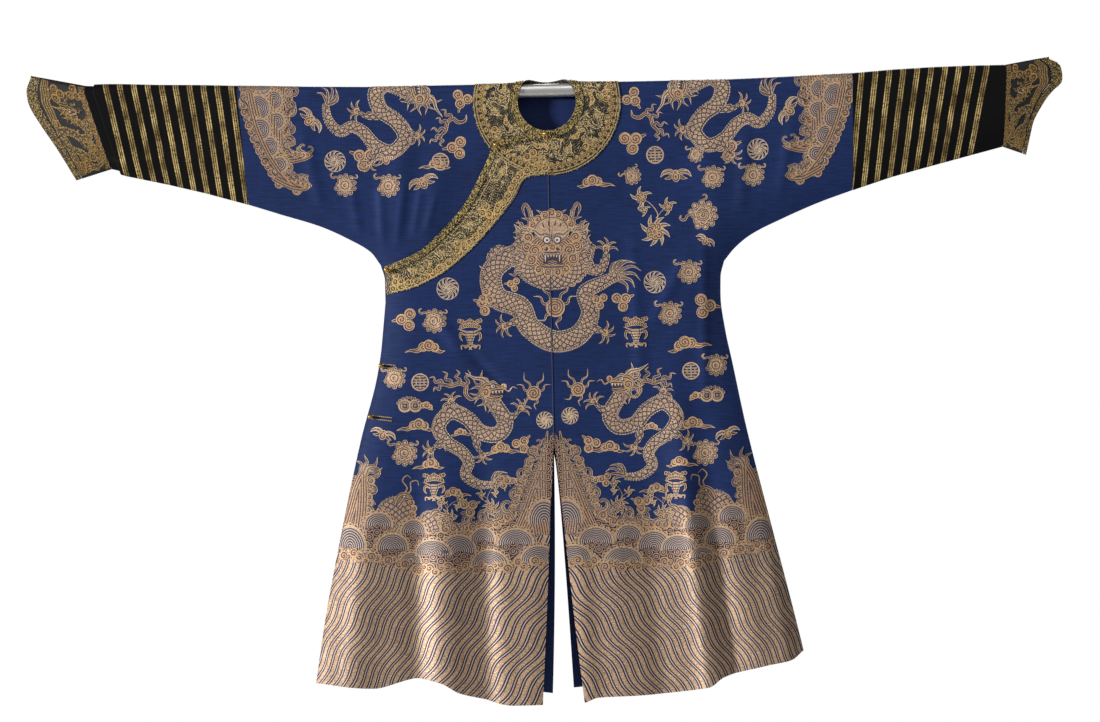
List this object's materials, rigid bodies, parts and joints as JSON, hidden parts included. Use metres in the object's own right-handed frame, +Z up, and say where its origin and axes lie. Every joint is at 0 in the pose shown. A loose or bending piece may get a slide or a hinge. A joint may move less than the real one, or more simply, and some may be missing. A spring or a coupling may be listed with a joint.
{
  "type": "dragon robe on a display rod",
  "caption": "Long-sleeved woven silk court robe with an overlapping front, ring collar, lapel band and flared cuffs, hung flat on a straight rod.",
  "frame": {"origin": "middle of the display rod, on its axis, at the centre of the neck", "axes": "+X to the viewer's right, the wearer's left; +Z up; the front faces -Y"},
  "size_m": [2.1734, 0.0749, 1.3429],
  "materials": {
    "blue_silk": "woven silk, soft sheen, bronze-gold woven motifs",
    "dark_brocade": "black brocade covered in gold thread",
    "dark_edging": "narrow black edging with gold thread",
    "black_satin": "black silk with woven gold stripes",
    "gilt": "gilt, polished",
    "gold_cord": "twisted silk cord",
    "steel": "satin metal tube"
  },
  "bodies": {
    "root": {"rod": "steel", "body_left": "blue_silk", "body_right": "blue_silk", "outer_front_right": "blue_silk", "collar_ring": "dark_brocade", "neck_binding": "dark_edging", "lapel_band": "dark_brocade", "lapel_edging": "dark_edging", "sleeve_left": "black_satin", "sleeve_right": "black_satin", "cuff_left": "dark_brocade", "cuff_right": "dark_brocade", "cuff_edging_left": "dark_edging", "cuff_edging_right": "dark_edging", "button_neck": "gilt", "button_lapel": "gilt", "button_underarm": "gilt", "button_waist": "gilt", "button_hip": "gilt", "loop_neck": "gold_cord", "loop_lapel": "gold_cord", "loop_underarm": "gold_cord", "loop_waist": "gold_cord", "loop_hip": "gold_cord"}
  },
  "joints": []
}
